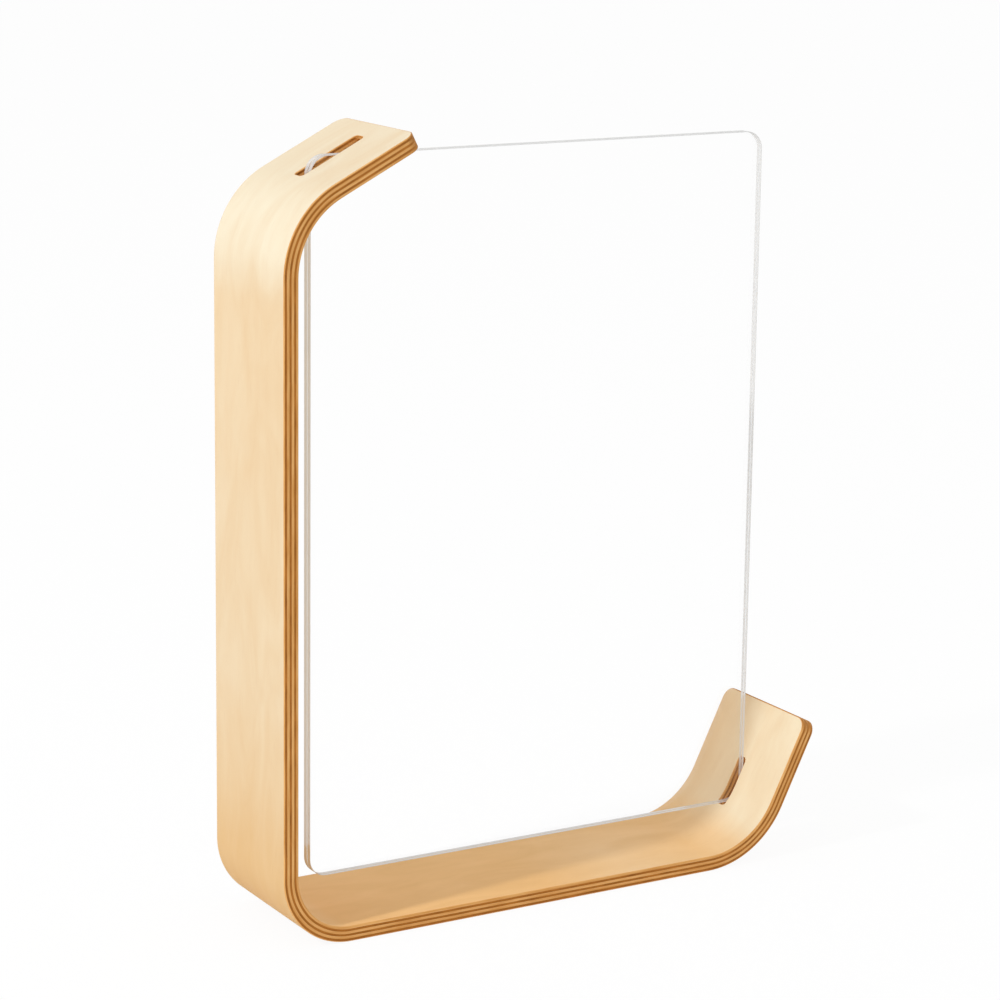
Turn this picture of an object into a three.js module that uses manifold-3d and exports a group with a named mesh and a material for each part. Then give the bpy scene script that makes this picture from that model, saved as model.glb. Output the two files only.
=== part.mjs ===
// Double-sided photo frame: a bent plywood band that grips two acrylic sheets by opposite corners.
// Millimetres. +X points to the lip, -Y to the viewer and +Z up. The frame stands on its foot,
// with the origin under the middle of the whole outline.

import * as THREE from "three";
import { mergeVertices } from "three/addons/utils/BufferGeometryUtils.js";
import Module from "manifold-3d";

// Acrylic sheets, which hold a print between them and set the size of the band
const sheetWidth = 133;
const sheetHeight = 183.5;
const sheetThickness = 1.5;
const sheetCornerRadius = 4.8;
const printGap = 0.3;
const sheetPlay = 0.35;

// Where the sheets sit in the band
const sheetToUpright = 12;
const sheetToFoot = 7.4;
const sheetAboveTopCorner = 12.6;
const sheetPastLipCorner = 7.5;

// Plies by thickness, with the grain of the core plies along the band and of the cross plies across it
const outerFaceThickness = 0.27;
const innerFaceThickness = 0.65;
const crossThickness = 0.58;
const coreThickness = 0.66;

// Band, with its bends measured at the middle ply
const bandDepth = 38.4;
const topArmTurn = 63;
const lipTurn = 64;
const topArmLength = 38.8;
const lipLength = 38.8;
const topBendRadius = 23.2;
const footBendRadius = 16.9;
const lipBendRadius = 23.9;
const endCornerRadius = 3.4;

// Slots, cut square through every ply
const slotSideClearance = 0.45;
const slotEndClearance = 0.15;
const slotCornerRadius = 1;

// Facets
const bendStep = 4.5;
const cornerSegments = 8;
const weldDistance = 1e-4;

// Finishes
const faceColor = "#efd6ad";
const coreColor = "#cf9c62";
const crossColor = "#915f2a";
const sheetColor = "#eef3f3";
const woodRoughness = 0.6;
const sheetRoughness = 0.06;
const sheetOpacity = 0.3;

const wasm = await Module();
wasm.setup();

// Plies from the outside of the band to the inside
const plies = [
  { name: "outer_face_veneer", thickness: outerFaceThickness, color: faceColor },
  { name: "outer_cross_ply", thickness: crossThickness, color: crossColor },
  { name: "outer_core_ply", thickness: coreThickness, color: coreColor },
  { name: "middle_cross_ply", thickness: crossThickness, color: crossColor },
  { name: "inner_core_ply", thickness: coreThickness, color: coreColor },
  { name: "inner_cross_ply", thickness: crossThickness, color: crossColor },
  { name: "inner_face_veneer", thickness: innerFaceThickness, color: faceColor },
];

// Distances of the band's two faces from the middle of its middle ply
const bandThickness = plies.reduce((sum, ply) => sum + ply.thickness, 0);
const outerOffset = outerFaceThickness + crossThickness + coreThickness + crossThickness / 2;
const innerOffset = bandThickness - outerOffset;

// Edges of the sheets, with x from the middle of the upright and z from the middle of the foot
const sheetLeft = innerOffset + sheetToUpright;
const sheetRight = sheetLeft + sheetWidth;
const sheetBottom = innerOffset + sheetToFoot;
const sheetTop = sheetBottom + sheetHeight;
const sheetPackThickness = 2 * sheetThickness + printGap;

// Corners where the band's straight runs would meet, and the directions of its two arms
const heading = (degrees) => {
  const angle = THREE.MathUtils.degToRad(degrees);
  return new THREE.Vector2(Math.cos(angle), Math.sin(angle));
};
const topArm = {
  corner: new THREE.Vector2(0, sheetTop - sheetAboveTopCorner),
  angle: 90 - topArmTurn,
  length: topArmLength,
  sheetCorner: new THREE.Vector2(sheetLeft, sheetTop),
  sheetGrowth: new THREE.Vector2(-slotEndClearance, slotEndClearance),
};
const lip = {
  corner: new THREE.Vector2(sheetRight - sheetPastLipCorner, 0),
  angle: lipTurn,
  length: lipLength,
  sheetCorner: new THREE.Vector2(sheetRight, sheetBottom),
  sheetGrowth: new THREE.Vector2(slotEndClearance, -slotEndClearance),
};
const footCorner = new THREE.Vector2(0, 0);

// The end of an arm, moved sideways by a distance to the arm's left
function armEnd(arm, sideways) {
  const along = heading(arm.angle);
  const left = new THREE.Vector2(-along.y, along.x);
  return arm.corner.clone().addScaledVector(along, arm.length).addScaledVector(left, sideways);
}

// The points round one bend, at a distance to the outside of the middle ply's bend
function bendPoints(corner, radius, startDegrees, turnDegrees, offset) {
  const along = heading(startDegrees);
  const inward = heading(startDegrees + 90);
  const tangent = radius * Math.tan(THREE.MathUtils.degToRad(turnDegrees / 2));
  const centre = corner.clone().addScaledVector(along, -tangent).addScaledVector(inward, radius);
  const steps = Math.ceil(turnDegrees / bendStep);
  const points = [];
  for (let i = 0; i <= steps; i++) {
    const outward = heading(startDegrees - 90 + (turnDegrees * i) / steps);
    points.push(centre.clone().addScaledVector(outward, radius + offset));
  }
  return points;
}

// One surface of the band seen from the front, from the top arm's end round to the lip's end
function bandLine(offset) {
  return [
    armEnd(topArm, offset),
    ...bendPoints(topArm.corner, topBendRadius, topArm.angle + 180, topArmTurn, offset),
    ...bendPoints(footCorner, footBendRadius, 270, 90, offset),
    ...bendPoints(lip.corner, lipBendRadius, 0, lipTurn, offset),
    armEnd(lip, -offset),
  ];
}

// A manifold solid from a three.js geometry, and back
function solidOf(geometry) {
  const bare = geometry.clone();
  bare.deleteAttribute("normal");
  bare.deleteAttribute("uv");
  const merged = mergeVertices(bare, weldDistance);
  const vertProperties = merged.getAttribute("position").array;
  const triVerts = new Uint32Array(merged.getIndex().array);
  return new wasm.Manifold(new wasm.Mesh({ numProp: 3, vertProperties, triVerts }));
}

function geometryOf(solid) {
  const { vertProperties, triVerts } = solid.getMesh();
  const indexed = new THREE.BufferGeometry();
  indexed.setAttribute("position", new THREE.BufferAttribute(vertProperties, 3));
  indexed.setIndex(new THREE.BufferAttribute(triVerts, 1));
  const geometry = indexed.toNonIndexed();
  geometry.computeVertexNormals();
  return geometry;
}

// A rectangle with round corners, drawn counter-clockwise
function roundedRectangle(left, bottom, right, top, radius) {
  const shape = new THREE.Shape();
  shape.absarc(right - radius, bottom + radius, radius, -Math.PI / 2, 0);
  shape.absarc(right - radius, top - radius, radius, 0, Math.PI / 2);
  shape.absarc(left + radius, top - radius, radius, Math.PI / 2, Math.PI);
  shape.absarc(left + radius, bottom + radius, radius, Math.PI, 1.5 * Math.PI);
  shape.closePath();
  return shape;
}

// An outline in the front view, extruded from one depth to another
function extrudeInDepth(shape, front, back) {
  const options = { depth: back - front, bevelEnabled: false, curveSegments: cornerSegments };
  const geometry = new THREE.ExtrudeGeometry(shape, options);
  geometry.rotateX(Math.PI / 2);
  geometry.translate(0, back, 0);
  return geometry;
}

// A cutter with an outline drawn on an arm, x along the arm and y in depth, through every ply
function armCutter(arm, shape) {
  const reach = 2 * bandThickness;
  const options = { depth: 2 * reach, bevelEnabled: false, curveSegments: cornerSegments };
  const geometry = new THREE.ExtrudeGeometry(shape, options);
  const along = heading(arm.angle);
  const alongArm = new THREE.Vector3(along.x, 0, along.y);
  const inDepth = new THREE.Vector3(0, 1, 0);
  const acrossArm = new THREE.Vector3(-along.y, 0, along.x);
  const placement = new THREE.Matrix4().makeBasis(alongArm, inDepth, acrossArm);
  placement.setPosition(arm.corner.x, 0, arm.corner.y);
  geometry.translate(0, 0, -reach);
  geometry.applyMatrix4(placement);
  return solidOf(geometry);
}

// Where a line crosses x or y at a value, at the crossing nearest to a point
function crossing(line, axis, value, near) {
  let nearest = null;
  for (let i = 1; i < line.length; i++) {
    const start = line[i - 1];
    const end = line[i];
    const share = (value - start[axis]) / (end[axis] - start[axis]);
    if (!(share >= 0 && share <= 1)) continue;
    const point = start.clone().lerp(end, share);
    if (!nearest || point.distanceTo(near) < nearest.distanceTo(near)) nearest = point;
  }
  return nearest;
}

// The slot that lets the sheets' corner through an arm. The sheets are widest at the arm's inner
// face, so the slot runs just past where their two edges cross it. Its round corners clear the
// sheets even at the end of their play.
function slotCutter(arm) {
  const innerFace = bandLine(-innerOffset);
  const corner = arm.sheetCorner.clone().add(arm.sheetGrowth);
  const along = heading(arm.angle);
  const ends = [crossing(innerFace, "x", corner.x, corner), crossing(innerFace, "y", corner.y, corner)]
    .map((point) => point.sub(arm.corner).dot(along))
    .sort((a, b) => a - b);
  const halfWidth = sheetPackThickness / 2 + slotSideClearance;
  const intoCorner = slotCornerRadius - (slotSideClearance - sheetPlay);
  const cornerAllowance = slotCornerRadius - Math.sqrt(slotCornerRadius ** 2 - intoCorner ** 2);
  const low = ends[0] - cornerAllowance;
  const high = ends[1] + cornerAllowance;
  return armCutter(arm, roundedRectangle(low, -halfWidth, high, halfWidth, slotCornerRadius));
}

// What rounding takes off one corner of an arm's end, with side -1 for the front and 1 for the back
function endCornerCutter(arm, side) {
  const margin = endCornerRadius;
  const edge = bandDepth / 2;
  const shape = new THREE.Shape();
  shape.moveTo(arm.length - endCornerRadius, side * edge);
  shape.absarc(
    arm.length - endCornerRadius,
    side * (edge - endCornerRadius),
    endCornerRadius,
    (side * Math.PI) / 2,
    0,
    side > 0,
  );
  shape.lineTo(arm.length + margin, side * (edge - endCornerRadius));
  shape.lineTo(arm.length + margin, side * (edge + margin));
  shape.lineTo(arm.length - endCornerRadius, side * (edge + margin));
  shape.closePath();
  return armCutter(arm, shape);
}

// One ply of the band between two distances from the middle ply, before it is cut
function plyBlank(outside, inside) {
  const outline = new THREE.Shape([...bandLine(outside), ...bandLine(inside).reverse()]);
  return solidOf(extrudeInDepth(outline, -bandDepth / 2, bandDepth / 2));
}

function plyMaterial(color) {
  return new THREE.MeshStandardMaterial({ color, roughness: woodRoughness, metalness: 0 });
}

// The seven glued plies
function buildBand() {
  const cutters = [];
  for (const arm of [topArm, lip]) {
    cutters.push(slotCutter(arm), endCornerCutter(arm, -1), endCornerCutter(arm, 1));
  }
  const band = new THREE.Group();
  let outside = outerOffset;
  for (const ply of plies) {
    const inside = outside - ply.thickness;
    let solid = plyBlank(outside, inside);
    for (const cutter of cutters) solid = solid.subtract(cutter);
    const mesh = new THREE.Mesh(geometryOf(solid), plyMaterial(ply.color));
    mesh.name = ply.name;
    band.add(mesh);
    outside = inside;
  }
  return band;
}

// One acrylic sheet, whose front face is at a depth
function buildSheet(name, front) {
  const outline = roundedRectangle(sheetLeft, sheetBottom, sheetRight, sheetTop, sheetCornerRadius);
  const material = new THREE.MeshStandardMaterial({
    color: sheetColor,
    roughness: sheetRoughness,
    metalness: 0,
    transparent: true,
    opacity: sheetOpacity,
  });
  const mesh = new THREE.Mesh(extrudeInDepth(outline, front, front + sheetThickness), material);
  mesh.name = name;
  return mesh;
}

// The whole frame, moved so that the origin is under the middle of its outline
function buildFrame() {
  const frame = new THREE.Group();
  frame.add(buildBand());
  frame.add(buildSheet("front_acrylic_sheet", -sheetPackThickness / 2));
  frame.add(buildSheet("back_acrylic_sheet", printGap / 2));
  const box = new THREE.Box3().setFromObject(frame);
  const middle = box.getCenter(new THREE.Vector3());
  frame.position.set(-middle.x, -middle.y, -box.min.z);
  return frame;
}

export default buildFrame();
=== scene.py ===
import math
from collections import namedtuple

import bmesh
import bpy
from mathutils import Color, Matrix, Vector


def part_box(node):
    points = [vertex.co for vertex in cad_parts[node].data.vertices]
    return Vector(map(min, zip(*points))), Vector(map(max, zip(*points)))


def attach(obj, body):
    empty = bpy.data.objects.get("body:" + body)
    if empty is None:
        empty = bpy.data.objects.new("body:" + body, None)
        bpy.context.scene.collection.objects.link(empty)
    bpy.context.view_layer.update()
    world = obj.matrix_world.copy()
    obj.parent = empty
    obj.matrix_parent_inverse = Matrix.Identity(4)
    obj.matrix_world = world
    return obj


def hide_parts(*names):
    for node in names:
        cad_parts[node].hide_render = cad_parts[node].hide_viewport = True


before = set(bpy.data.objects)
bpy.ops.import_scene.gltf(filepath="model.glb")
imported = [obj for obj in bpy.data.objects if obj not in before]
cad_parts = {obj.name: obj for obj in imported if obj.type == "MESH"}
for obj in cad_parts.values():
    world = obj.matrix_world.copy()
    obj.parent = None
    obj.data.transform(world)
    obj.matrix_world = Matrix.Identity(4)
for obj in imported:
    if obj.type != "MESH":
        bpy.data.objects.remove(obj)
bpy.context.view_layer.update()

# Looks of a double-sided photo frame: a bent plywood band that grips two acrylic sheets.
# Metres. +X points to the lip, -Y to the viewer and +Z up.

MM = 0.001
QUARTER_TURN = math.pi / 2
DOWN = 3 * QUARTER_TURN

# Plies from the outside of the band to the inside
OUTER_FACE_THICKNESS = 0.27 * MM
INNER_FACE_THICKNESS = 0.65 * MM
CROSS_THICKNESS = 0.58 * MM
CORE_THICKNESS = 0.66 * MM
Ply = namedtuple("Ply", "node thickness kind slot")
PLIES = [
    Ply("outer_face_veneer", OUTER_FACE_THICKNESS, "face", "face_veneer"),
    Ply("outer_cross_ply", CROSS_THICKNESS, "cross", "cross_ply"),
    Ply("outer_core_ply", CORE_THICKNESS, "core", "core_ply"),
    Ply("middle_cross_ply", CROSS_THICKNESS, "cross", "cross_ply"),
    Ply("inner_core_ply", CORE_THICKNESS, "core", "core_ply"),
    Ply("inner_cross_ply", CROSS_THICKNESS, "cross", "cross_ply"),
    Ply("inner_face_veneer", INNER_FACE_THICKNESS, "face", "face_veneer"),
]

# From the middle of the middle ply to the band's outer and inner faces
OUTER_OFFSET = OUTER_FACE_THICKNESS + CROSS_THICKNESS + CORE_THICKNESS + CROSS_THICKNESS / 2
INNER_OFFSET = sum(ply.thickness for ply in PLIES) - OUTER_OFFSET

# Band, with its bends measured at the middle of the middle ply
TOP_ARM_TURN = math.radians(63)
LIP_TURN = math.radians(64)
TOP_ARM_LENGTH = 38.8 * MM
LIP_LENGTH = 38.8 * MM
TOP_BEND_RADIUS = 23.2 * MM
FOOT_BEND_RADIUS = 16.9 * MM
LIP_BEND_RADIUS = 23.9 * MM
END_CORNER_RADIUS = 3.4 * MM
EASED_EDGE = 0.25 * MM

# Slots and sheets
SHEET_ABOVE_TOP_CORNER = 12.6 * MM
SHEET_PAST_LIP_CORNER = 7.5 * MM
SHEET_CORNER_RADIUS = 4.8 * MM
SHEET_EDGE_ROUND = 0.15 * MM
SHEET_PLAY = 0.35 * MM
SLOT_SIDE_CLEARANCE = 0.45 * MM
SLOT_END_CLEARANCE = 0.15 * MM
SLOT_CORNER_RADIUS = 1 * MM

# Facets
BEND_STEP = math.radians(3)
BEND_MARGIN = 0.4 * MM
CORNER_STEPS = 10
EASE_STEPS = 3
SHARP_ANGLE = math.radians(40)
BROAD_NORMAL = 0.99
CUT_TOLERANCE = 0.0001 * MM
HALVINGS = 40

# Veneer tones with painted light: a pale and a golden colour, mixed by the place along the band and towards
# its back. The pale share is painted sheen on the outer top arm, the top bend and the inner lip. The golden
# share is painted shade on the low bend and the foot, and on the inner face it grows towards the back edge
Tone = namedtuple("Tone", "pale golden stops backwards")
OUTER_GOLD_AND_PAINTED_LIGHT_STOPS = [
    (0, 0.08),
    (0.045, 0.1),
    (0.09, 0),
    (0.115, 0),
    (0.15, 0.34),
    (0.4, 0.31),
    (0.465, 0.48),
    (0.525, 0.67),
    (0.55, 0.82),
    (0.57, 1),
    (0.62, 1),
    (0.7, 0.5),
]
INNER_GOLD_AND_PAINTED_LIGHT_STOPS = [
    (0, 0.4),
    (0.48, 0.5),
    (0.55, 1),
    (0.74, 1),
    (0.81, 0.8),
    (0.87, 0.88),
    (0.895, 0.7),
    (0.92, 0.15),
    (0.94, 0.16),
]
OUTER_TONE_AND_PAINTED_LIGHT = Tone("#eee3c9", "#dca54c", OUTER_GOLD_AND_PAINTED_LIGHT_STOPS, 0)
INNER_TONE_AND_PAINTED_LIGHT = Tone("#f8eacb", "#f6c482", INNER_GOLD_AND_PAINTED_LIGHT_STOPS, 0.5)

# Other colours, as sRGB
GRAIN_COLOR = "#d8a868"
PORE_COLOR = "#b98550"
EDGE_LONG_LIGHT = "#eeb771"
EDGE_LONG_DARK = "#d29146"
EDGE_END_LIGHT = "#c37a2e"
EDGE_END_DARK = "#88500f"
# The grey of the sheets' edges is a painted reflection of the surroundings in a clear polished edge
SHEET_EDGE_PAINTED_REFLECTION = "#e1e1e0"
BACKGROUND = "#ffffff"
WHITE = (1, 1, 1, 1)
BRIGHTEST = 255

# Textures: noise scales in 1/m along, across and through the flat band, or along X, Y and Z of a sheet
Texture = namedtuple("Texture", "scale low high detail roughness distortion", defaults=(0.55, 0))
FIGURE = Texture((28, 75, 40), 0.3, 0.75, 3, distortion=1.4)
STREAKS = Texture((14, 260, 60), 0.3, 0.7, 5)
FACE_PORES = Texture((220, 3200, 400), 0.6, 0.8, 2, roughness=0.6)
LONG_FIBRES = Texture((110, 900, 1600), 0.3, 0.7, 5)
CROSS_FIBRES = Texture((900, 110, 1600), 0.3, 0.7, 5)
END_PATCHES = Texture((160, 160, 900), 0.3, 0.7, 4)
END_PORES = Texture((5200, 5200, 5200), 0.35, 0.7, 2)
WIPE_MARKS = Texture((30, 30, 90), 0.4, 0.8, 3)

# How far the textures show in the colour
FIGURE_STRENGTH = 0.28
STREAK_STRENGTH = 0.06
PORE_STRENGTH = 0.14
PATCH_STRENGTH = 0.75

# Surfaces
BUMP_DISTANCE = 0.015 * MM
STREAK_HEIGHT = 0.5
WOOD_SPECULAR = 0.25
FACE_ROUGHNESS = 0.5
FIGURE_ROUGHNESS = 0.1
EDGE_ROUGHNESS = 0.6
END_GRAIN_ROUGHNESS = 0.15
ACRYLIC_IOR = 1.49
WIPE_ROUGHNESS = 0.015
SHEET_EDGE_IOR = 1.01
SHEET_EDGE_ROUGHNESS = 0.2
SHEET_EDGE_TRANSMISSION = 0.25

# Camera, placed where the photograph was taken
CAMERA_AZIMUTH = math.radians(-30.61)
CAMERA_ELEVATION = math.radians(11.86)
CAMERA_ROLL = math.radians(0.77)
CAMERA_DISTANCE = 807.8 * MM
CAMERA_TARGET = Vector((-8.9 * MM, 0, 121.8 * MM))
CAMERA_SENSOR = 36
CAMERA_LENS = 114
CAMERA_SHIFT_Y = -0.07

# Light, floor and background
WORLD_STRENGTH = 0.61
WORLD_RISE = 0.19
KEY_AZIMUTH = math.radians(-82)
KEY_ELEVATION = math.radians(40)
KEY_DISTANCE = 1.6
KEY_SIZE = 0.08
KEY_POWER = 8.3
FLOOR_SIZE = 12
FLOOR_DROP = 0.05 * MM
FLOOR_WHITE_SHARE = 0.93
BACKGROUND_STRENGTH = 1

# Sockets of the Mix node that belong to its colour mode
MIX_FACTOR = 0
MIX_FIRST = 6
MIX_SECOND = 7
MIX_RESULT = 2

# Edges of the sheets and of the band, from the frame
band_low, band_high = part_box("outer_face_veneer")
sheet_low, sheet_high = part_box("front_acrylic_sheet")
_, back_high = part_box("back_acrylic_sheet")
BAND_HALF_DEPTH = (band_high.y - band_low.y) / 2
UPRIGHT_X = band_low.x + OUTER_OFFSET
FOOT_Z = band_low.z + OUTER_OFFSET
SLOT_HALF_WIDTH = (back_high.y - sheet_low.y) / 2 + SLOT_SIDE_CLEARANCE


def direction(angle):
    return Vector((math.cos(angle), math.sin(angle)))


def linear(hex_color):
    """An sRGB colour as linear RGBA."""
    srgb = Color([channel / BRIGHTEST for channel in bytes.fromhex(hex_color[1:])])
    return (*srgb.from_srgb_to_scene_linear(), 1)


# The band's straight and bent runs

Run = namedtuple("Run", "start point heading length radius")


def band_runs():
    """The runs of the middle ply in the front view, from the top arm's end to the lip's end."""
    heading = DOWN - TOP_ARM_TURN
    top_corner = Vector((UPRIGHT_X, sheet_high.z - SHEET_ABOVE_TOP_CORNER))
    foot_corner = Vector((UPRIGHT_X, FOOT_Z))
    lip_corner = Vector((sheet_high.x - SHEET_PAST_LIP_CORNER, FOOT_Z))
    bends = [
        (top_corner, TOP_BEND_RADIUS, TOP_ARM_TURN),
        (foot_corner, FOOT_BEND_RADIUS, QUARTER_TURN),
        (lip_corner, LIP_BEND_RADIUS, LIP_TURN),
    ]
    runs = []
    start = 0
    point = top_corner - TOP_ARM_LENGTH * direction(heading)
    for corner, radius, turn in bends:
        tangent = radius * math.tan(turn / 2)
        bend_start = corner - tangent * direction(heading)
        length = (bend_start - point).length
        runs.append(Run(start, point, heading, length, None))
        start += length
        runs.append(Run(start, bend_start, heading, radius * turn, radius))
        start += radius * turn
        heading += turn
        point = corner + tangent * direction(heading)
    runs.append(Run(start, point, heading, LIP_LENGTH - tangent, None))
    return runs


# Top arm, top bend, upright, foot bend, foot, lip bend and lip
RUNS = band_runs()
BENDS = [run for run in RUNS if run.radius]
BAND_LENGTH = RUNS[-1].start + RUNS[-1].length


def bent(along, y, height):
    """Where a point of the flat band lies once it is bent; height is outwards from the middle ply."""
    run = next((run for run in reversed(RUNS) if along >= run.start), RUNS[0])
    heading = run.heading
    point = run.point
    if run.radius is None:
        point = point + (along - run.start) * direction(heading)
    else:
        centre = point + run.radius * direction(heading + QUARTER_TURN)
        heading += (along - run.start) / run.radius
        point = centre + run.radius * direction(heading - QUARTER_TURN)
    point = point + height * direction(heading - QUARTER_TURN)
    return Vector((point.x, y, point.y))


def crossing(axis, value, start, end):
    """How far along the band its inner face crosses a value of x or z, found by halving."""
    rising = getattr(bent(end, 0, -INNER_OFFSET), axis) > value
    for _ in range(HALVINGS):
        middle = (start + end) / 2
        if (getattr(bent(middle, 0, -INNER_OFFSET), axis) < value) == rising:
            start = middle
        else:
            end = middle
    return (start + end) / 2


def slot_spans():
    """Where the two slots start and end along the flat band."""
    top_bend, _, lip_bend = BENDS
    # What a slot's round corners take off its ends, where a sheet at the end of its play passes
    into_corner = SLOT_CORNER_RADIUS - (SLOT_SIDE_CLEARANCE - SHEET_PLAY)
    allowance = SLOT_CORNER_RADIUS - math.sqrt(SLOT_CORNER_RADIUS**2 - into_corner**2)
    top_end = top_bend.start + top_bend.length
    top = [
        crossing("z", sheet_high.z + SLOT_END_CLEARANCE, 0, top_end),
        crossing("x", sheet_low.x - SLOT_END_CLEARANCE, 0, top_end),
    ]
    lip = [
        crossing("z", sheet_low.z - SLOT_END_CLEARANCE, lip_bend.start, BAND_LENGTH),
        crossing("x", sheet_high.x + SLOT_END_CLEARANCE, lip_bend.start, BAND_LENGTH),
    ]
    return [(start - allowance, end + allowance) for start, end in (top, lip)]


# Flat boards with eased edges, holes and a bend

def rounded_rectangle(low, high, radius, grow):
    """Points round a rectangle with round corners, moved outwards by grow."""
    centres = [
        (high[0] - radius, low[1] + radius),
        (high[0] - radius, high[1] - radius),
        (low[0] + radius, high[1] - radius),
        (low[0] + radius, low[1] + radius),
    ]
    points = []
    for quarter, (x, y) in enumerate(centres):
        for step in range(CORNER_STEPS + 1):
            angle = (quarter - 1 + step / CORNER_STEPS) * QUARTER_TURN
            points.append((x + (radius + grow) * math.cos(angle), y + (radius + grow) * math.sin(angle)))
    return points


def edge_profile(bottom, top, bottom_ease, top_ease):
    """Inset and height of each line round a board's edge, from its bottom face to its top face."""
    steps = [QUARTER_TURN * i / EASE_STEPS for i in range(EASE_STEPS + 1)]
    profile = [(0, bottom)]
    if bottom_ease:
        profile = [(bottom_ease * (1 - math.sin(a)), bottom + bottom_ease * (1 - math.cos(a))) for a in steps]
    if top_ease:
        profile += [(top_ease * (1 - math.cos(a)), top - top_ease * (1 - math.sin(a))) for a in steps]
    else:
        profile.append((0, top))
    return profile


def ring_edges(bm, ring):
    return [bm.edges.get((ring[i - 1], ring[i])) for i in range(len(ring))]


def flat_board(outline, holes, profile):
    """A closed flat board from (low, high, radius) outlines, its edges following a profile."""
    bm = bmesh.new()
    bottoms = []
    tops = []
    for (low, high, radius), outwards in [(outline, -1)] + [(hole, 1) for hole in holes]:
        rings = []
        for inset, height in profile:
            points = rounded_rectangle(low, high, radius, outwards * inset)
            rings.append([bm.verts.new((x, y, height)) for x, y in points])
        for lower, upper in zip(rings, rings[1:]):
            for i in range(len(lower)):
                bm.faces.new((lower[i - 1], lower[i], upper[i], upper[i - 1]))
        bottoms += ring_edges(bm, rings[0])
        tops += ring_edges(bm, rings[-1])
    for edges in (bottoms, tops):
        bmesh.ops.triangle_fill(bm, use_beauty=True, edges=edges, normal=(0, 0, 1))
    bmesh.ops.recalc_face_normals(bm, faces=bm.faces[:])
    return bm


def slice_for_bends(bm):
    """Cuts the flat band across wherever it will bend, and just outside each bend."""
    cuts = []
    for bend in BENDS:
        steps = math.ceil(bend.length / bend.radius / BEND_STEP)
        cuts += [bend.start + bend.length * i / steps for i in range(steps + 1)]
        cuts += [bend.start - BEND_MARGIN, bend.start + bend.length + BEND_MARGIN]
    for cut in cuts:
        geometry = bm.verts[:] + bm.edges[:] + bm.faces[:]
        bmesh.ops.bisect_plane(
            bm, geom=geometry, dist=CUT_TOLERANCE, plane_co=(cut, 0, 0), plane_no=(1, 0, 0)
        )


def is_broad(face):
    return abs(face.normal.z) > BROAD_NORMAL


def shade_faces_and_edges(bm):
    """Shades a board smoothly, with its two broad faces apart from its edges in shade and material."""
    for edge in bm.edges:
        first, second = edge.link_faces
        edge.smooth = is_broad(first) == is_broad(second) and edge.calc_face_angle() < SHARP_ANGLE
    for face in bm.faces:
        face.smooth = True
        face.material_index = 0 if is_broad(face) else 1


def turn_faces_out(bm):
    """Bending or swapping axes mirrors a board, so its faces have to be turned the right way again."""
    bm.normal_update()
    bmesh.ops.recalc_face_normals(bm, faces=bm.faces[:])


def object_from(bm, name, materials):
    mesh = bpy.data.meshes.new(name)
    bm.to_mesh(mesh)
    bm.free()
    for material in materials:
        mesh.materials.append(material)
    piece = bpy.data.objects.new(name, mesh)
    bpy.context.scene.collection.objects.link(piece)
    return piece


def build_ply(ply, bottom, top, slots, materials):
    """One ply, cut and eased while flat, then bent. Its flat place stays on it for the grain."""
    outline = ((0, -BAND_HALF_DEPTH), (BAND_LENGTH, BAND_HALF_DEPTH), END_CORNER_RADIUS)
    holes = [((low, -SLOT_HALF_WIDTH), (high, SLOT_HALF_WIDTH), SLOT_CORNER_RADIUS) for low, high in slots]
    bottom_ease = EASED_EDGE if ply is PLIES[-1] else 0
    top_ease = EASED_EDGE if ply is PLIES[0] else 0
    bm = flat_board(outline, holes, edge_profile(bottom, top, bottom_ease, top_ease))
    slice_for_bends(bm)
    bm.normal_update()
    shade_faces_and_edges(bm)
    flat_place = bm.verts.layers.float_vector.new("flat")
    end_grain = bm.faces.layers.float.new("end_grain")
    for face in bm.faces:
        face[end_grain] = abs(face.normal.y if ply.kind == "cross" else face.normal.x)
    for vertex in bm.verts:
        vertex[flat_place] = vertex.co
        vertex.co = bent(*vertex.co)
    turn_faces_out(bm)
    piece = object_from(bm, "birch_" + ply.node, materials)
    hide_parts(ply.node)
    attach(piece, "band")


def build_sheet(node, body, materials):
    """One acrylic sheet, its edges a little rounded."""
    low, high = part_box(node)
    outline = ((low.x, low.z), (high.x, high.z), SHEET_CORNER_RADIUS)
    bm = flat_board(outline, [], edge_profile(low.y, high.y, SHEET_EDGE_ROUND, SHEET_EDGE_ROUND))
    bm.normal_update()
    shade_faces_and_edges(bm)
    for vertex in bm.verts:
        vertex.co = vertex.co.xzy
    turn_faces_out(bm)
    piece = object_from(bm, "clear_" + node, materials)
    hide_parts(node)
    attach(piece, body)


# Materials

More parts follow.
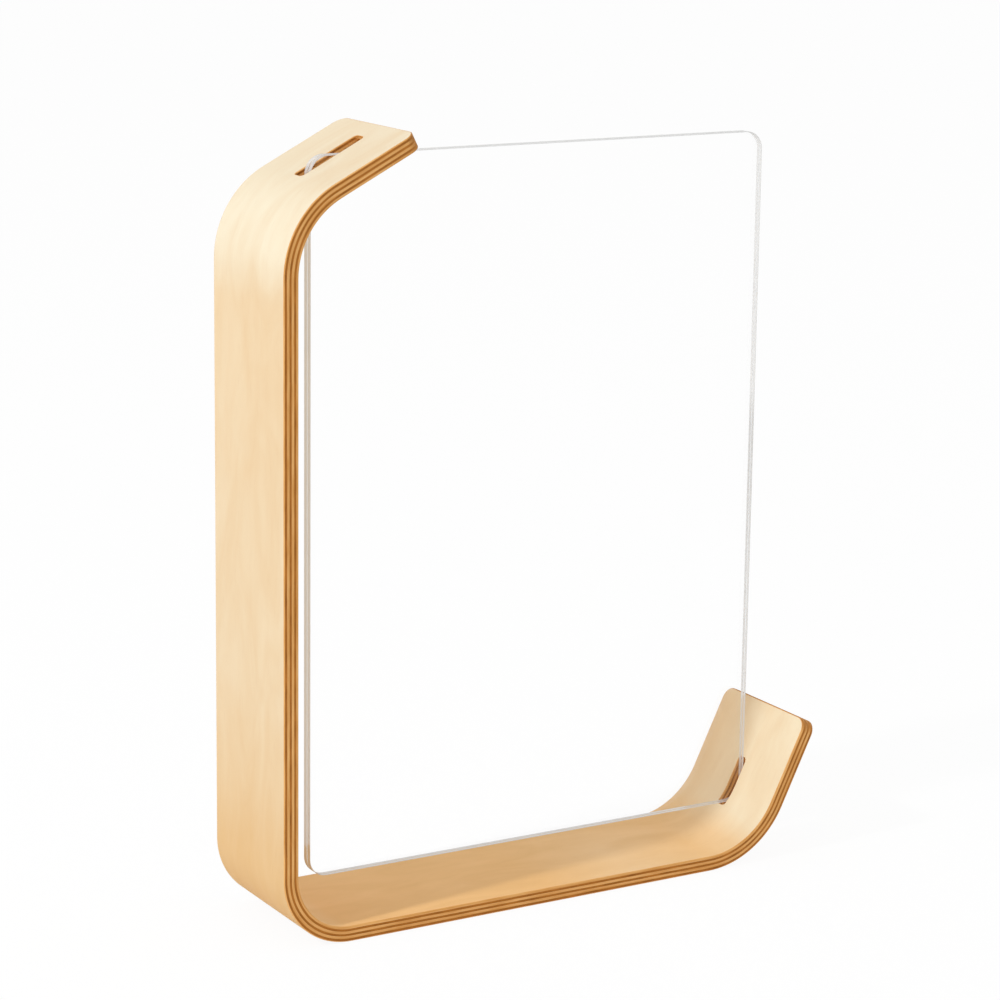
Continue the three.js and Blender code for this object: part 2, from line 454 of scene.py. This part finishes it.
class Nodes:
    """Short calls for building a node tree."""

    def __init__(self, tree):
        self.tree = tree
        tree.nodes.clear()

    def add(self, kind, inputs=None, **settings):
        """A new node with its settings, and with values or links on its inputs."""
        node = self.tree.nodes.new(kind)
        for key, value in settings.items():
            setattr(node, key, value)
        for key, value in (inputs or {}).items():
            if isinstance(value, bpy.types.NodeSocket):
                self.tree.links.new(value, node.inputs[key])
            else:
                node.inputs[key].default_value = value
        return node

    def math(self, operation, *values):
        node = self.add("ShaderNodeMath", dict(enumerate(values)), operation=operation)
        return node.outputs[0]

    def texture_at(self, place, texture):
        """A texture's value at a place: noise, spread so that its low becomes 0 and its high becomes 1."""
        stretched = self.add("ShaderNodeVectorMath", {0: place, 1: texture.scale}, operation="MULTIPLY")
        inputs = {
            "Vector": stretched.outputs[0],
            "Scale": 1,
            "Detail": texture.detail,
            "Roughness": texture.roughness,
            "Distortion": texture.distortion,
        }
        noise = self.add("ShaderNodeTexNoise", inputs).outputs["Fac"]
        limits = {"Value": noise, "From Min": texture.low, "From Max": texture.high}
        return self.add("ShaderNodeMapRange", limits).outputs[0]

    def mix(self, factor, first, second):
        """Two colours mixed by a factor."""
        inputs = {MIX_FACTOR: factor, MIX_FIRST: first, MIX_SECOND: second}
        return self.add("ShaderNodeMix", inputs, data_type="RGBA").outputs[MIX_RESULT]

    def ramp(self, value, stops):
        """A value from 0 to 1 turned into the shares at the stops, with straight lines between them."""
        ramp = self.add("ShaderNodeValToRGB", {"Fac": value})
        elements = ramp.color_ramp.elements
        elements[0].position = stops[0][0]
        elements[1].position = stops[-1][0]
        for position, _ in stops[1:-1]:
            elements.new(position)
        for element, (_, share) in zip(elements, stops):
            element.color = (share, share, share, 1)
        return ramp.outputs["Color"]

    def mix_to_output(self, kind, factor, first, second):
        """Sends two mixed shaders to the output."""
        mixed = self.add("ShaderNodeMixShader", {0: factor, 1: first.outputs[0], 2: second.outputs[0]})
        self.add(kind, {"Surface": mixed.outputs[0]})


def new_material(name):
    material = bpy.data.materials.new(name)
    material.use_nodes = True
    return material, Nodes(material.node_tree)


def finish_wood(nodes, color, height, roughness):
    bump = nodes.add("ShaderNodeBump", {"Height": height, "Distance": BUMP_DISTANCE, "Strength": 1})
    inputs = {
        "Base Color": color,
        "Roughness": roughness,
        "Normal": bump.outputs[0],
        "Specular IOR Level": WOOD_SPECULAR,
    }
    shader = nodes.add("ShaderNodeBsdfPrincipled", inputs)
    nodes.add("ShaderNodeOutputMaterial", {"Surface": shader.outputs[0]})


def face_material(name, tone):
    """Rotary-cut birch with a clear satin lacquer, more golden towards the foot. The golden share is painted
    shade, and the pale share is painted sheen.
    """
    material, nodes = new_material(name)
    place = nodes.add("ShaderNodeAttribute", attribute_name="flat").outputs["Vector"]
    parts = nodes.add("ShaderNodeSeparateXYZ", {0: place})
    # Painted light: the share along the band and the term towards the back edge make the veneer golden where
    # shade falls and pale where sheen falls
    share = nodes.ramp(nodes.math("DIVIDE", parts.outputs["X"], BAND_LENGTH), tone.stops)
    painted_shade_at_back = nodes.math("MULTIPLY", parts.outputs["Y"], tone.backwards / BAND_HALF_DEPTH)
    gold_and_painted_light = nodes.math("MULTIPLY_ADD", nodes.math("SUBTRACT", 1, share), painted_shade_at_back, share)
    figure = nodes.texture_at(place, FIGURE)
    streaks = nodes.texture_at(place, STREAKS)
    pores = nodes.texture_at(place, FACE_PORES)
    streak_share = nodes.math("MULTIPLY", streaks, STREAK_STRENGTH)
    grain = nodes.math("MULTIPLY_ADD", figure, FIGURE_STRENGTH, streak_share)
    color = nodes.mix(gold_and_painted_light, linear(tone.pale), linear(tone.golden))
    color = nodes.mix(grain, color, linear(GRAIN_COLOR))
    color = nodes.mix(nodes.math("MULTIPLY", pores, PORE_STRENGTH), color, linear(PORE_COLOR))
    height = nodes.math("SUBTRACT", nodes.math("MULTIPLY", streaks, STREAK_HEIGHT), pores)
    roughness = nodes.math("MULTIPLY_ADD", figure, FIGURE_ROUGHNESS, FACE_ROUGHNESS)
    finish_wood(nodes, color, height, roughness)
    return material


def edge_material(name, fibre_texture):
    """A sanded ply edge: long fibres where the grain runs along the edge, dark pores where it ends."""
    material, nodes = new_material(name)
    place = nodes.add("ShaderNodeAttribute", attribute_name="flat").outputs["Vector"]
    end_grain = nodes.add("ShaderNodeAttribute", attribute_name="end_grain").outputs["Fac"]
    fibres = nodes.texture_at(place, fibre_texture)
    pores = nodes.texture_at(place, END_PORES)
    patch_share = nodes.math("MULTIPLY", nodes.texture_at(place, END_PATCHES), PATCH_STRENGTH)
    end_share = nodes.math("MULTIPLY_ADD", pores, 1 - PATCH_STRENGTH, patch_share)
    long_color = nodes.mix(fibres, linear(EDGE_LONG_LIGHT), linear(EDGE_LONG_DARK))
    end_color = nodes.mix(end_share, linear(EDGE_END_LIGHT), linear(EDGE_END_DARK))
    color = nodes.mix(end_grain, long_color, end_color)
    roughness = nodes.math("MULTIPLY_ADD", end_grain, END_GRAIN_ROUGHNESS, EDGE_ROUGHNESS)
    finish_wood(nodes, color, nodes.math("ADD", fibres, pores), roughness)
    return material


def finish_acrylic(nodes, color, roughness, ior, transmission):
    """Acrylic that casts next to no shadow."""
    inputs = {"Base Color": color, "Roughness": roughness, "IOR": ior, "Transmission Weight": transmission}
    acrylic = nodes.add("ShaderNodeBsdfPrincipled", inputs)
    passing = nodes.add("ShaderNodeBsdfTransparent", {"Color": WHITE})
    rays = nodes.add("ShaderNodeLightPath")
    lets_through = nodes.math("MAXIMUM", rays.outputs["Is Shadow Ray"], rays.outputs["Is Diffuse Ray"])
    nodes.mix_to_output("ShaderNodeOutputMaterial", lets_through, acrylic, passing)


def sheet_face_material():
    """Clear cast acrylic with the faintest wipe marks."""
    material, nodes = new_material("acrylic_face")
    place = nodes.add("ShaderNodeTexCoord").outputs["Object"]
    roughness = nodes.math("MULTIPLY", nodes.texture_at(place, WIPE_MARKS), WIPE_ROUGHNESS)
    finish_acrylic(nodes, WHITE, roughness, ACRYLIC_IOR, 1)
    return material


def sheet_edge_material():
    """The sheets' edges, which show as soft grey lines and bend light far less than the faces. Their grey is
    a painted reflection.
    """
    color = linear(SHEET_EDGE_PAINTED_REFLECTION)
    material, nodes = new_material("acrylic_edge")
    finish_acrylic(nodes, color, SHEET_EDGE_ROUGHNESS, SHEET_EDGE_IOR, SHEET_EDGE_TRANSMISSION)
    return material


# Stage: floor, world, light and camera

def sees_background(nodes):
    """1 for rays that should see the plain background: the camera's, and through gloss and glass."""
    rays = nodes.add("ShaderNodeLightPath")
    seen = nodes.math("MAXIMUM", rays.outputs["Is Camera Ray"], rays.outputs["Is Glossy Ray"])
    return nodes.math("MAXIMUM", seen, rays.outputs["Is Transmission Ray"])


def build_floor():
    material, nodes = new_material("floor_paper")
    paper = nodes.add("ShaderNodeBsdfDiffuse", {"Color": linear(BACKGROUND)})
    plain = {"Color": linear(BACKGROUND), "Strength": BACKGROUND_STRENGTH}
    white = nodes.add("ShaderNodeEmission", plain)
    share = nodes.math("MULTIPLY", sees_background(nodes), FLOOR_WHITE_SHARE)
    nodes.mix_to_output("ShaderNodeOutputMaterial", share, paper, white)
    bm = bmesh.new()
    bmesh.ops.create_grid(bm, x_segments=1, y_segments=1, size=FLOOR_SIZE / 2)
    floor = object_from(bm, "floor", [material])
    floor.location.z = -FLOOR_DROP


def build_world():
    """Even light from all round, a little stronger from above, before a plain background."""
    world = bpy.data.worlds.new("studio")
    world.use_nodes = True
    bpy.context.scene.world = world
    nodes = Nodes(world.node_tree)
    toward = nodes.add("ShaderNodeTexCoord").outputs["Generated"]
    height = nodes.add("ShaderNodeSeparateXYZ", {0: toward}).outputs["Z"]
    strength = nodes.math("MULTIPLY_ADD", nodes.math("MAXIMUM", height, 0), WORLD_RISE, WORLD_STRENGTH)
    light = nodes.add("ShaderNodeBackground", {"Color": WHITE, "Strength": strength})
    plain = {"Color": linear(BACKGROUND), "Strength": BACKGROUND_STRENGTH}
    white = nodes.add("ShaderNodeBackground", plain)
    nodes.mix_to_output("ShaderNodeOutputWorld", sees_background(nodes), light, white)


def around(azimuth, elevation):
    """A direction from the object, with azimuth 0 towards -Y and 90 degrees towards +X."""
    flat = math.cos(elevation)
    return Vector((math.sin(azimuth) * flat, -math.cos(azimuth) * flat, math.sin(elevation)))


def build_key_light():
    lamp = bpy.data.lights.new("key", "AREA")
    lamp.shape = "DISK"
    lamp.size = KEY_SIZE
    lamp.energy = KEY_POWER
    key = bpy.data.objects.new("key", lamp)
    bpy.context.scene.collection.objects.link(key)
    toward = around(KEY_AZIMUTH, KEY_ELEVATION)
    key.location = KEY_DISTANCE * toward
    key.rotation_euler = toward.to_track_quat("Z", "Y").to_euler()


def build_camera():
    data = bpy.data.cameras.new("camera")
    data.sensor_width = CAMERA_SENSOR
    data.lens = CAMERA_LENS
    data.shift_y = CAMERA_SHIFT_Y
    camera = bpy.data.objects.new("camera", data)
    bpy.context.scene.collection.objects.link(camera)
    back = around(CAMERA_AZIMUTH, CAMERA_ELEVATION)
    right = Vector((math.cos(CAMERA_AZIMUTH), math.sin(CAMERA_AZIMUTH), 0))
    up = back.cross(right)
    axes = Matrix((right, up, back)).transposed() @ Matrix.Rotation(CAMERA_ROLL, 3, "Z")
    camera.matrix_world = Matrix.Translation(CAMERA_TARGET + CAMERA_DISTANCE * back) @ axes.to_4x4()
    bpy.context.scene.camera = camera


def build_band():
    outer_face = face_material("birch_outer_face", OUTER_TONE_AND_PAINTED_LIGHT)
    inner_face = face_material("birch_inner_face", INNER_TONE_AND_PAINTED_LIGHT)
    along_edge = edge_material("ply_edge_long_grain", LONG_FIBRES)
    cross_edge = edge_material("ply_edge_cross_grain", CROSS_FIBRES)
    slots = slot_spans()
    top = OUTER_OFFSET
    for ply in PLIES:
        bottom = top - ply.thickness
        face = inner_face if ply is PLIES[-1] else outer_face
        edge = cross_edge if ply.kind == "cross" else along_edge
        build_ply(ply, bottom, top, slots, [face, edge])
        top = bottom


def build_sheets():
    materials = [sheet_face_material(), sheet_edge_material()]
    build_sheet("front_acrylic_sheet", "front_sheet", materials)
    build_sheet("back_acrylic_sheet", "back_sheet", materials)


build_band()
build_sheets()
build_floor()
build_world()
build_key_light()
build_camera()
bpy.context.scene.view_settings.view_transform = "Standard"
